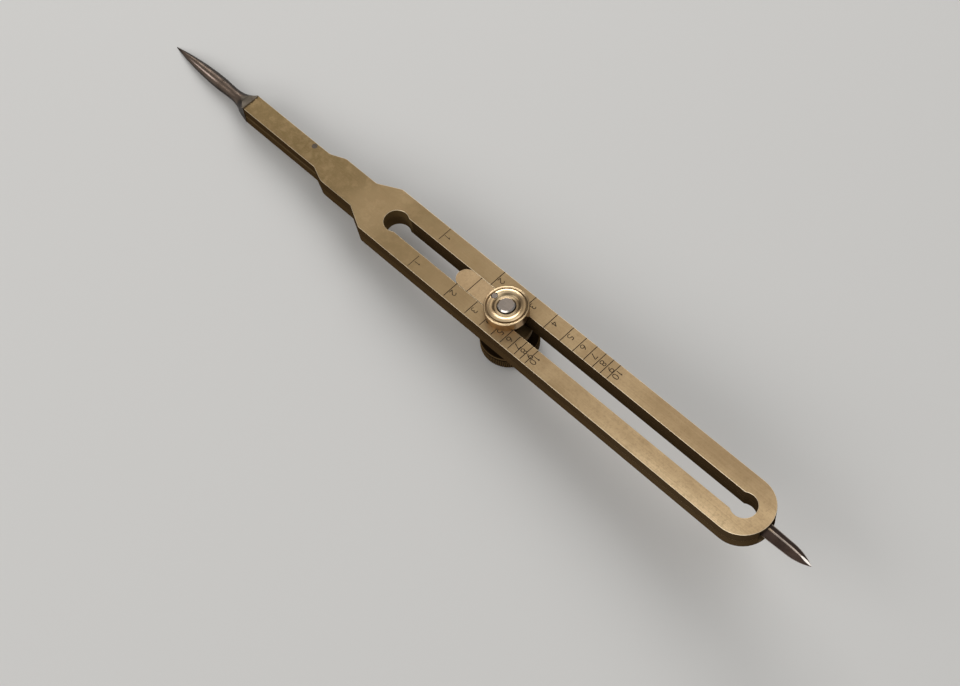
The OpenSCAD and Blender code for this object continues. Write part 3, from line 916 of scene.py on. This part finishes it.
# painted highlight: the ridge and the round get a light steel colour
ridge_steel = mix_point_steel(
    "ridge_steel_highlight", (0.42, 0.35, 0.30, 1), (0.25, 0.20, 0.165, 1), 0.3, 0.26,
    shaded_sides=0.0, brazed=True,
)
# painted shade: the flanks get a dark steel colour
flank_steel = mix_point_steel(
    "flank_steel_shade", (0.085, 0.058, 0.046, 1), (0.040, 0.027, 0.022, 1), 0.4, 0.36
)
tip_steel = mix_point_steel("tip_steel_bare", STEEL_BARE, (0.50, 0.46, 0.42, 1), 0.05, 0.22)
print("finishes:", leaf_steel.name, root_steel.name, ridge_steel.name, flank_steel.name, tip_steel.name)

# %% [markdown]
# ## Pin steel
# The stud's head, the key pin and the register pin were filed off and show plain grey
# ends with small pits. They could share the steel of the points, but that is ground
# lengthwise and dark. The register pin is at the darker end of the legs, and is darker.

# %% Mix the pin steel
PIN_GREY = (0.385, 0.320, 0.268, 1)
PIN_DARK = (0.17, 0.15, 0.135, 1)
REGISTER_GREY = (0.092, 0.074, 0.058, 1)
REGISTER_DARK = (0.052, 0.041, 0.032, 1)


def mix_pin_steel(name, grey, dark, bare_share):
    """Steel of a filed pin. Bare share is how bright its edges are."""
    material, tree, shader = start_finish(name)
    grain = use_group(tree, grain_group, Scale=(700, 5200, 5200), Rotation=(0, 0, 0.7))
    pits = use_group(tree, tarnish_group, Scale=2600.0, Cover=0.36, Softness=0.1)["Mask"]
    edge = use_group(tree, edge_group, Radius=0.10 * MM)
    bevel = slope_mask(tree, 0.98, 0.85)
    colour = lay_over(
        tree, grey,
        (pits, dark, 0.75),
        (grain["Streaks"], dark, 0.25),
        (edge["Edge"], STEEL_BARE, bare_share),
        (bevel, STEEL_BARE, bare_share),
    )
    rough = add_up(tree, 0.32, (pits, 0.2), (bevel, -0.2 * bare_share))
    wire_up(tree, shader, colour, rough, add_up(tree, grain["Height"], (pits, -1.0)), 0.01 * MM)
    return material


pin_steel = mix_pin_steel("pin_steel_filed", PIN_GREY, PIN_DARK, 0.65)
register_steel = mix_pin_steel("register_pin_steel", REGISTER_GREY, REGISTER_DARK, 0.0)
print("finishes:", pin_steel.name, register_steel.name)

# %% [markdown]
# ## Engraving
# Cut lines hold old wax and grime, so they read as thin dark strokes. This is the
# finish of the walls of every engraved line. Near the hand the wax has worn out.

# %% Mix the engraving's finish
WAX_DARK = (0.030, 0.020, 0.011, 1)
WAX_LIGHT = (0.085, 0.055, 0.028, 1)
WORN_NONE_X = -0.012
WORN_FULL_X = -0.020


def mix_engraving():
    """Wax and grime in a cut line."""
    material, tree, shader = start_finish("engraved_line", metallic=0.4)
    clouds = use_group(tree, tarnish_group, Scale=1500.0, Cover=0.5, Softness=0.2)["Mask"]
    worn = span(tree, place_along(tree, 0), WORN_NONE_X, WORN_FULL_X)
    colour = lay_over(tree, tint(tree, clouds, WAX_DARK, WAX_LIGHT), (worn, BRASS_PATCH, 0.45))
    wire_up(tree, shader, colour, add_up(tree, 0.55, (clouds, 0.2)))
    return material


engraving = mix_engraving()
print("finish:", engraving.name)

# %% [markdown]
# ## Copies that can be worked on
# A CAD node's own mesh stays as it is. Where a piece needs softened edges or engraving,
# a copy is worked on, and the copy stands for the node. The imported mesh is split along
# its edges and cut into triangles, so the copy is first welded and its flat faces made
# whole. Then the edges of its outer face, which hands touch, get a small round.

# %% Define the copy and edge helpers
WELD = 0.0005 * MM
FLAT_ANGLE = math.radians(0.6)
SHARP_ANGLE = math.radians(28)


def shade(mesh):
    """Smooth shading that stays crisp at sharp edges. Older normals are dropped."""
    if "custom_normal" in mesh.attributes:
        mesh.attributes.remove(mesh.attributes["custom_normal"])
    mesh.polygons.foreach_set("use_smooth", [True] * len(mesh.polygons))
    mesh.set_sharp_from_angle(angle=SHARP_ANGLE)


def working_copy(node, name, material):
    """A welded copy of a node's mesh as a new object that stands for the node."""
    mesh = nodes[node].data.copy()
    mesh.name = name
    bm = bmesh.new()
    bm.from_mesh(mesh)
    bmesh.ops.remove_doubles(bm, verts=bm.verts, dist=WELD)
    bmesh.ops.dissolve_limit(bm, angle_limit=FLAT_ANGLE, verts=bm.verts, edges=bm.edges)
    bm.to_mesh(mesh)
    bm.free()
    mesh.materials.clear()
    mesh.materials.append(material)
    piece = bpy.data.objects.new(name, mesh)
    scene.collection.objects.link(piece)
    body = nodes[node]["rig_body"]
    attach(piece, body)
    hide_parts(node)
    return piece


def soften(piece, face_z, width, segments=3):
    """Rounds the sharp edges round a piece's outer face, but not the hole of the pin."""
    bm = bmesh.new()
    bm.from_mesh(piece.data)
    low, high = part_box("register_pin")
    pin = (low + high) / 2
    sharp = []
    for edge in bm.edges:
        on_face = all(abs(v.co.z - face_z) < WELD for v in edge.verts)
        at_pin = (edge.verts[0].co.xy - pin.xy).length < high.x - low.x
        if on_face and not at_pin and len(edge.link_faces) == 2 and edge.calc_face_angle() > SHARP_ANGLE:
            sharp.append(edge)
    bmesh.ops.bevel(
        bm, geom=sharp, offset=width, segments=segments, profile=0.5, affect="EDGES", clamp_overlap=False
    )
    bm.to_mesh(piece.data)
    bm.free()
    shade(piece.data)
    even = piece.modifiers.new("even_normals", "WEIGHTED_NORMAL")
    even.keep_sharp = True
    return len(sharp)


print("copy and edge helpers ready")

# %% [markdown]
# ## Single-line numerals
# The scale's numbers are cut with single strokes. A font would give outlined shapes, so
# each figure is drawn here as a few lines and arcs in a cell one unit high, and a
# cutter follows them. The figures are plain ones of the lesson's own drawing.

# %% Draw the figures
ARC_STEP = math.radians(24)


def stroke(*corners):
    """Straight lines from corner to corner."""
    return [Vector(c) for c in corners]


def bow(centre, radius, start, end, narrow=1.0):
    """Points of an arc, in degrees. Narrow squeezes it sideways."""
    first, last = math.radians(start), math.radians(end)
    steps = max(3, round(abs(last - first) / ARC_STEP))
    angles = [first + (last - first) * i / steps for i in range(steps + 1)]
    middle = Vector(centre)
    return [middle + radius * Vector((narrow * math.cos(a), math.sin(a))) for a in angles]


six = [bow((0.30, 0.28), 0.28, -180, 180), bow((0.76, 0.28), 0.74, 180, 118)]
FIGURES = {
    "0": [bow((0.30, 0.50), 0.50, -180, 180, 0.58)],
    "1": [stroke((0.12, 0.78), (0.30, 1.0)), stroke((0.30, 1.0), (0.30, 0.0))],
    "2": [bow((0.30, 0.72), 0.28, 165, -38) + stroke((0.02, 0.0)), stroke((0.02, 0.0), (0.60, 0.0))],
    "3": [bow((0.27, 0.76), 0.24, 150, -88), bow((0.27, 0.26), 0.26, 88, -150)],
    "4": [
        stroke((0.42, 1.0), (0.02, 0.32)),
        stroke((0.02, 0.32), (0.60, 0.32)),
        stroke((0.42, 1.0), (0.42, 0.0)),
    ],
    "5": [
        stroke((0.54, 1.0), (0.13, 1.0)),
        stroke((0.13, 1.0), (0.09, 0.54)),
        bow((0.27, 0.30), 0.30, 125, -140),
    ],
    "6": six,
    "7": [stroke((0.02, 1.0), (0.58, 1.0)), stroke((0.58, 1.0), (0.20, 0.0))],
    "8": [bow((0.30, 0.76), 0.23, -180, 180), bow((0.30, 0.27), 0.27, -180, 180)],
    "9": [[Vector((0.60, 1.0)) - p for p in path] for path in six],
}
FIGURE_STEP = 0.78
FIGURE_WIDTH = 0.60
print("figures drawn:", len(FIGURES))

# %% [markdown]
# ## Taking metal away
# Engraved lines and filed flats are both made by taking metal away. A cutter is built
# as a row of sections joined into a solid, and an exact Boolean takes it from the
# piece. Painting the lines or denting the mesh would be quicker, but a real cut has
# crisp walls that catch the light, and its walls can have a finish of their own.

# %% Define the cutters
def face_frame(height, outward):
    """Right, up and outward of a face: up is +X, seen from outside the face."""
    out = Vector((0, 0, outward))
    up = Vector((1, 0, 0))
    right = up.cross(out)
    frame_matrix = Matrix((right, up, out)).transposed().to_4x4()
    frame_matrix.translation = (0, 0, height)
    return frame_matrix


def loft(bm, face, sections, closed=False):
    """Joins sections, lists of points on a face, into a solid or a closed loop of rings."""
    rings = [[bm.verts.new(face @ Vector(p)) for p in section] for section in sections]
    corners = len(rings[0])
    following = rings[1:] + rings[:1] if closed else rings[1:]
    for one, two in zip(rings, following):
        for k in range(corners):
            bm.faces.new((one[k], one[(k + 1) % corners], two[(k + 1) % corners], two[k]))
    if not closed:
        bm.faces.new(rings[0])
        bm.faces.new(rings[-1])
    return rings


def cut_away(piece, bm, finish, crossing=False):
    """Takes cutters away from a piece and finishes the cut walls. Some cutters cross."""
    bmesh.ops.recalc_face_normals(bm, faces=bm.faces)
    mesh = bpy.data.meshes.new("cutter")
    bm.to_mesh(mesh)
    bm.free()
    mesh.materials.append(finish)
    cutter = bpy.data.objects.new("cutter", mesh)
    scene.collection.objects.link(cutter)
    cut = piece.modifiers.new("cut", "BOOLEAN")
    cut.operation = "DIFFERENCE"
    cut.solver = "EXACT"
    cut.use_self = crossing
    cut.material_mode = "TRANSFER"
    cut.object = cutter
    piece.modifiers.move(len(piece.modifiers) - 1, 0)
    done = bpy.data.meshes.new_from_object(piece.evaluated_get(bpy.context.evaluated_depsgraph_get()))
    done.name = piece.data.name
    piece.modifiers.remove(cut)
    piece.data = done
    shade(done)
    bpy.data.objects.remove(cutter)
    return len(done.polygons)


print("cutters ready")

# %% [markdown]
# ## The graver
# A graver leaves a V-shaped groove along each stroke. Its cutter is a V whose point
# lies below the face and whose open side stands above it. The strokes of the numbers
# are finer than the ticks.

# %% Define the graver
TICK_HALF = 0.085 * MM
STROKE_HALF = 0.080 * MM
GROOVE_DEPTH = 0.11 * MM
GROOVE_RISE = 0.05 * MM


def groove(bm, face, path, half):
    """A V-shaped cutter along a path of points on a face."""
    wide = half * (1 + GROOVE_RISE / GROOVE_DEPTH)
    closed = (path[0] - path[-1]).length < WELD
    points = path[:-1] if closed else path
    count = len(points)
    sections = []
    for i, point in enumerate(points):
        before = points[i - 1] if closed or i > 0 else point
        after = points[(i + 1) % count] if closed or i < count - 1 else point
        ahead = (after - before).normalized()
        across = Vector((-ahead.y, ahead.x)) * wide
        one, two = point + across, point - across
        sections.append([(*one, GROOVE_RISE), (*point, -GROOVE_DEPTH), (*two, GROOVE_RISE)])
    loft(bm, face, sections, closed)


def number(bm, face, digits, middle, foot, height):
    """Cuts a number whose foot is at a place along the leg, centred across its rail."""
    width = (FIGURE_WIDTH + FIGURE_STEP * (len(digits) - 1)) * height
    for i, figure in enumerate(digits):
        corner = Vector((middle - width / 2 + i * FIGURE_STEP * height, foot))
        for path in FIGURES[figure]:
            groove(bm, face, [corner + p * height for p in path], STROKE_HALF)


print("graver ready")

# %% [markdown]
# ## The scales
# The index line stands a fixed way from the pivot. For a ratio r between the two
# openings, the pivot lies at r / (1 + r) of the length from the long tips, so the tick
# for r is there, less the index's offset. One rail gives squares and the other cubes:
# r is the square root or the cube root of the number. The back of the other leg carries
# the plain ratios, and the sides of regular polygons in a circle.

# %% Work out the ticks
INDEX_OFFSET = 8.68 * MM
FIGURE_HEIGHT = 1.30 * MM
FIGURE_GAP = 0.30 * MM
TICK_SHORT = 0.55 * MM
TICK_INSET = 0.35 * MM
OVERSHOOT = 0.4 * MM


def tick_place(ratio):
    """Where along the leg the tick for a ratio is cut."""
    return long_tip_x + tip_to_tip * ratio / (1 + ratio) - INDEX_OFFSET


square_ticks = {n: tick_place(n ** 0.5) for n in range(1, 11)}
cube_ticks = {n: tick_place(n ** (1 / 3)) for n in range(1, 11)}
line_ticks = {n: tick_place(n) for n in range(1, 11)}
polygon_sides = (6, 7, 8, 9, 10, 12, 14, 16, 18, 20)
circle_ticks = {n: tick_place(0.5 / math.sin(math.pi / n)) for n in polygon_sides}


def cut_scale(bm, face, ticks, side, inner_gap, outer_gap):
    """Ticks across one rail with a number beyond each. Side is -1 or 1 on the face."""
    for value, place in ticks.items():
        inner = side * (slot_half + inner_gap(value))
        outer = side * (body_half - outer_gap(value))
        groove(bm, face, stroke((inner, place), (outer, place)), TICK_HALF)
        number(bm, face, str(value), side * rail_middle, place + FIGURE_GAP, FIGURE_HEIGHT)
    return len(ticks)


print("first and last square tick in mm:", round(square_ticks[1] / MM, 2), round(square_ticks[10] / MM, 2))

# %% [markdown]
# ## The face of the upper leg
# The squares are on the far rail and the cubes on the near one. The squares' ticks run
# out over the edge, and the cubes' ticks stop short of it. The first tick of each scale
# stands clear of the slot. The edges are softened before the cut, because a bevel over
# finished grooves would tear their ends.

# %% Engrave the upper leg
EDGE_ROUND = 0.15 * MM
upper_plate = working_copy("upper_leg", "upper_leg_engraved", leg_brass)
softened = soften(upper_plate, top_face_z, EDGE_ROUND)
upper_face = face_frame(top_face_z, 1)
bm = bmesh.new()
cut_scale(bm, upper_face, square_ticks, -1,
          lambda n: TICK_SHORT if n == 1 else -OVERSHOOT, lambda n: -OVERSHOOT)
cut_scale(bm, upper_face, cube_ticks, 1,
          lambda n: TICK_SHORT if n == 1 else -OVERSHOOT, lambda n: TICK_INSET)
print("upper leg: edges softened", softened, "faces", cut_away(upper_plate, bm, engraving, True))

# %% [markdown]
# ## The back of the lower leg
# Instruments of this kind carry two more scales on the back, so the lower leg gets the
# ratios and the polygons. It is the same work on a face that looks down, so the same
# helpers do it, with the face turned over.

# %% Engrave the lower leg's back
lower_plate = working_copy("lower_leg", "lower_leg_engraved", lower_brass)
softened = soften(lower_plate, back_face_z, EDGE_ROUND)
lower_face = face_frame(back_face_z, -1)
bm = bmesh.new()
cut_scale(bm, lower_face, line_ticks, -1, lambda n: -OVERSHOOT, lambda n: -OVERSHOOT)
cut_scale(bm, lower_face, circle_ticks, 1, lambda n: -OVERSHOOT, lambda n: TICK_INSET)
print("lower leg: edges softened", softened, "faces", cut_away(lower_plate, bm, engraving, True))

# %% [markdown]
# ## The sliding blocks
# The blocks fill their slots flush with the legs' outer faces. Each carries one line,
# the index, which is set against the ticks. They were finished apart from the legs, so
# their brushing runs the other way and they look brighter.

# %% Mark the index on both blocks
BLOCK_ROUND = 0.05 * MM
for node, name, face, face_z in (
    ("upper_slider", "upper_slider_marked", upper_face, top_face_z),
    ("lower_slider", "lower_slider_marked", lower_face, back_face_z),
):
    block = working_copy(node, name, slider_brass)
    softened = soften(block, face_z, BLOCK_ROUND)
    bm = bmesh.new()
    reach = slot_half + OVERSHOOT
    groove(bm, face, stroke((-reach, -INDEX_OFFSET), (reach, -INDEX_OFFSET)), TICK_HALF)
    print(name, "edges softened", softened, "faces", cut_away(block, bm, engraving))

# %% [markdown]
# ## The long points
# Each long point is a slender leaf, turned and split, whose flared root meets the brass.
# The root was filed down to a flat, sloping fan, which shows as a lighter patch. The
# file's path is a slab with a sloping underside, taken away from a copy of the point.
# Only a lighter colour there would look flat, because the fan has an edge of its own.

# %% File the roots of the long points
joint_x = upper_low.x
FAN_LENGTH = 2.8 * MM
FAN_DEPTH = 0.08 * MM
FAN_SLOPE = 0.19
FAN_HALF = 3.0 * MM
SLAB = 2.0 * MM
FAN_ENDS = (joint_x - FAN_LENGTH - SLAB, joint_x + SLAB)


def fan_section(x):
    """The section of the file's path at one place along the point."""
    low = -FAN_DEPTH - FAN_SLOPE * (joint_x - x)
    return [(-FAN_HALF, x, low), (FAN_HALF, x, low), (FAN_HALF, x, SLAB), (-FAN_HALF, x, SLAB)]


for node, face in (("upper_long_point", upper_face), ("lower_long_point", lower_face)):
    leaf = working_copy(node, node + "_filed", leaf_steel)
    bm = bmesh.new()
    loft(bm, face, [fan_section(x) for x in FAN_ENDS])
    print(leaf.name, "faces", cut_away(leaf, bm, root_steel))

# %% [markdown]
# ## The short points
# The short points are half-round, but filed: a broad flank on one side, a narrower one
# on the other, and a strip of the round left between them that carries a painted highlight,
# while the flanks carry painted shade. The very tip has a narrow flat, worn white. Cutting
# such flanks along a curved nose with a Boolean leaves slivers, so each point is lofted anew
# on the outline of the imported one.
# A flank is a side of the section with no corners between its ends. Behind the nose is
# the block that fills the leg's notch.

# %% Lay out the filed section
ROUND_SIDE = (-90, -79, -68, -57, -46)
STRIP = (-4, 3.5, 11)
CORNERS = ROUND_SIDE + STRIP + (90,)
STRIP_FIRST = len(ROUND_SIDE)
STRIP_LAST = STRIP_FIRST + len(STRIP) - 1
TIP_FLAT_LENGTH = 2.3 * MM
TIP_FLAT_FAR = 1.0
TIP_FLAT_NEAR = 0.45
SAME_LEVEL = 0.001 * MM
NOSE_HALF_LOW = 0.01 * MM
NOSE_HALF_HIGH = 1.6 * MM


def outline(node, inner_z):
    """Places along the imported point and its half-widths there, from its root to its tip."""
    places = {}
    for vertex in nodes[node].data.vertices:
        x, y, z = vertex.co
        if abs(z - inner_z) < SAME_LEVEL and NOSE_HALF_LOW < y < NOSE_HALF_HIGH:
            places[round(x, 7)] = y
    return sorted(places.items())


def with_station(stations, place):
    """Adds a station at a place, with the half-width that the outline has there."""
    for i, ((x0, r0), (x1, r1)) in enumerate(zip(stations, stations[1:])):
        if x0 < place < x1:
            width = r0 + (r1 - r0) * (place - x0) / (x1 - x0)
            return stations[:i + 1] + [(place, width)] + stations[i + 1:]
    return stations


def filed_section(x, radius):
    """Corners of the section. Near the tip the strip is worn down along both flanks."""
    ring = [Vector((math.sin(a), math.cos(a))) * radius for a in map(math.radians, CORNERS)]
    worn = max(0.0, 1 - (short_tip_x - x) / TIP_FLAT_LENGTH)
    ring[STRIP_FIRST] = ring[STRIP_FIRST].lerp(ring[STRIP_FIRST - 1], worn * TIP_FLAT_FAR)
    ring[STRIP_LAST] = ring[STRIP_LAST].lerp(ring[STRIP_LAST + 1], worn * TIP_FLAT_NEAR)
    if worn > 0:
        ring[STRIP_FIRST + 1] = (ring[STRIP_FIRST] + ring[STRIP_LAST]) / 2
    return [(p.x, x, p.y) for p in ring]


def add_seat_block(bm, face, ring, low, high):
    """Adds the block that sits in the leg's notch, behind the first ring of the loft."""
    start, end, half, height = low.x, ring[0].co.x, high.y, high.z - low.z
    bmesh.ops.delete(bm, geom=[f for f in bm.faces if set(f.verts) == set(ring)], context="FACES_ONLY")
    outline_yz = ((-half, 0), (half, 0), (half, height), (-half, height))
    back = [bm.verts.new(face @ Vector((y, start, z))) for y, z in outline_yz]
    front = [bm.verts.new(face @ Vector((y, end, z))) for y, z in outline_yz]
    new_faces = [bm.faces.new(back)]
    for k in (1, 2, 3):
        new_faces.append(bm.faces.new((back[k], back[(k + 1) % 4], front[(k + 1) % 4], front[k])))
    new_faces.append(bm.faces.new((back[0], front[0], ring[0], ring[-1], front[1], back[1])))
    new_faces.append(bm.faces.new((front[0], front[3], front[2], front[1], *reversed(ring))))
    return new_faces


print("corners of a section:", len(CORNERS))

# %% [markdown]
# ## The noses of the short points
# Each nose is a row of filed sections from the notch to the tip, joined as the cutters
# were. The corners of a face tell what it is: the round and the strip get the painted
# highlight, the flanks get the painted shade, and the end of the strip is worn white. So
# each face gets its finish from the way it was made, and none has to be picked by hand.

# %% Loft the short points
RIDGE, FLANK, WORN = 0, 1, 2
for node, inner_z, outward in (
    ("upper_short_point", upper_low.z, 1),
    ("lower_short_point", lower_high.z, -1),
):
    flat_start = short_tip_x - TIP_FLAT_LENGTH
    stations = with_station(outline(node, inner_z), flat_start)
    point = working_copy(node, node + "_filed", ridge_steel)
    bm = bmesh.new()
    inner_face = face_frame(inner_z, outward)
    rings = loft(bm, inner_face, [filed_section(x, r) for x, r in stations])
    bm.verts.index_update()
    for face in bm.faces:
        kinds = {v.index % len(CORNERS) for v in face.verts}
        on_strip = kinds <= set(range(STRIP_FIRST, STRIP_LAST + 1))
        on_round = kinds <= set(range(STRIP_FIRST))
        past_start = face.calc_center_median().x > flat_start
        # The round and the strip get the painted highlight, the flanks the painted shade.
        face.material_index = RIDGE if on_round else FLANK
        if on_strip:
            face.material_index = WORN if past_start else RIDGE
    for face in add_seat_block(bm, inner_face, rings[0], *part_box(node)):
        face.material_index = FLANK
    bmesh.ops.recalc_face_normals(bm, faces=bm.faces)
    bm.to_mesh(point.data)
    bm.free()
    for steel in (flank_steel, tip_steel):
        point.data.materials.append(steel)
    shade(point.data)
    print(point.name, "stations", len(stations), "faces", len(point.data.polygons))

# %% [markdown]
# ## The other pieces
# The pins, the cap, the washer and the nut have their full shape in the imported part, so
# their own meshes stay and only take their finish.

# %% Dress the pieces that stay
for node, material in (
    ("register_pin", register_steel),
    ("clamp_stud", pin_steel),
    ("cap_key_pin", pin_steel),
    ("top_cap", cap_brass),
    ("friction_washer", washer_brass),
    ("thumb_nut", nut_brass),
):
    nodes[node].material_slots[0].link = "OBJECT"
    nodes[node].material_slots[0].material = material
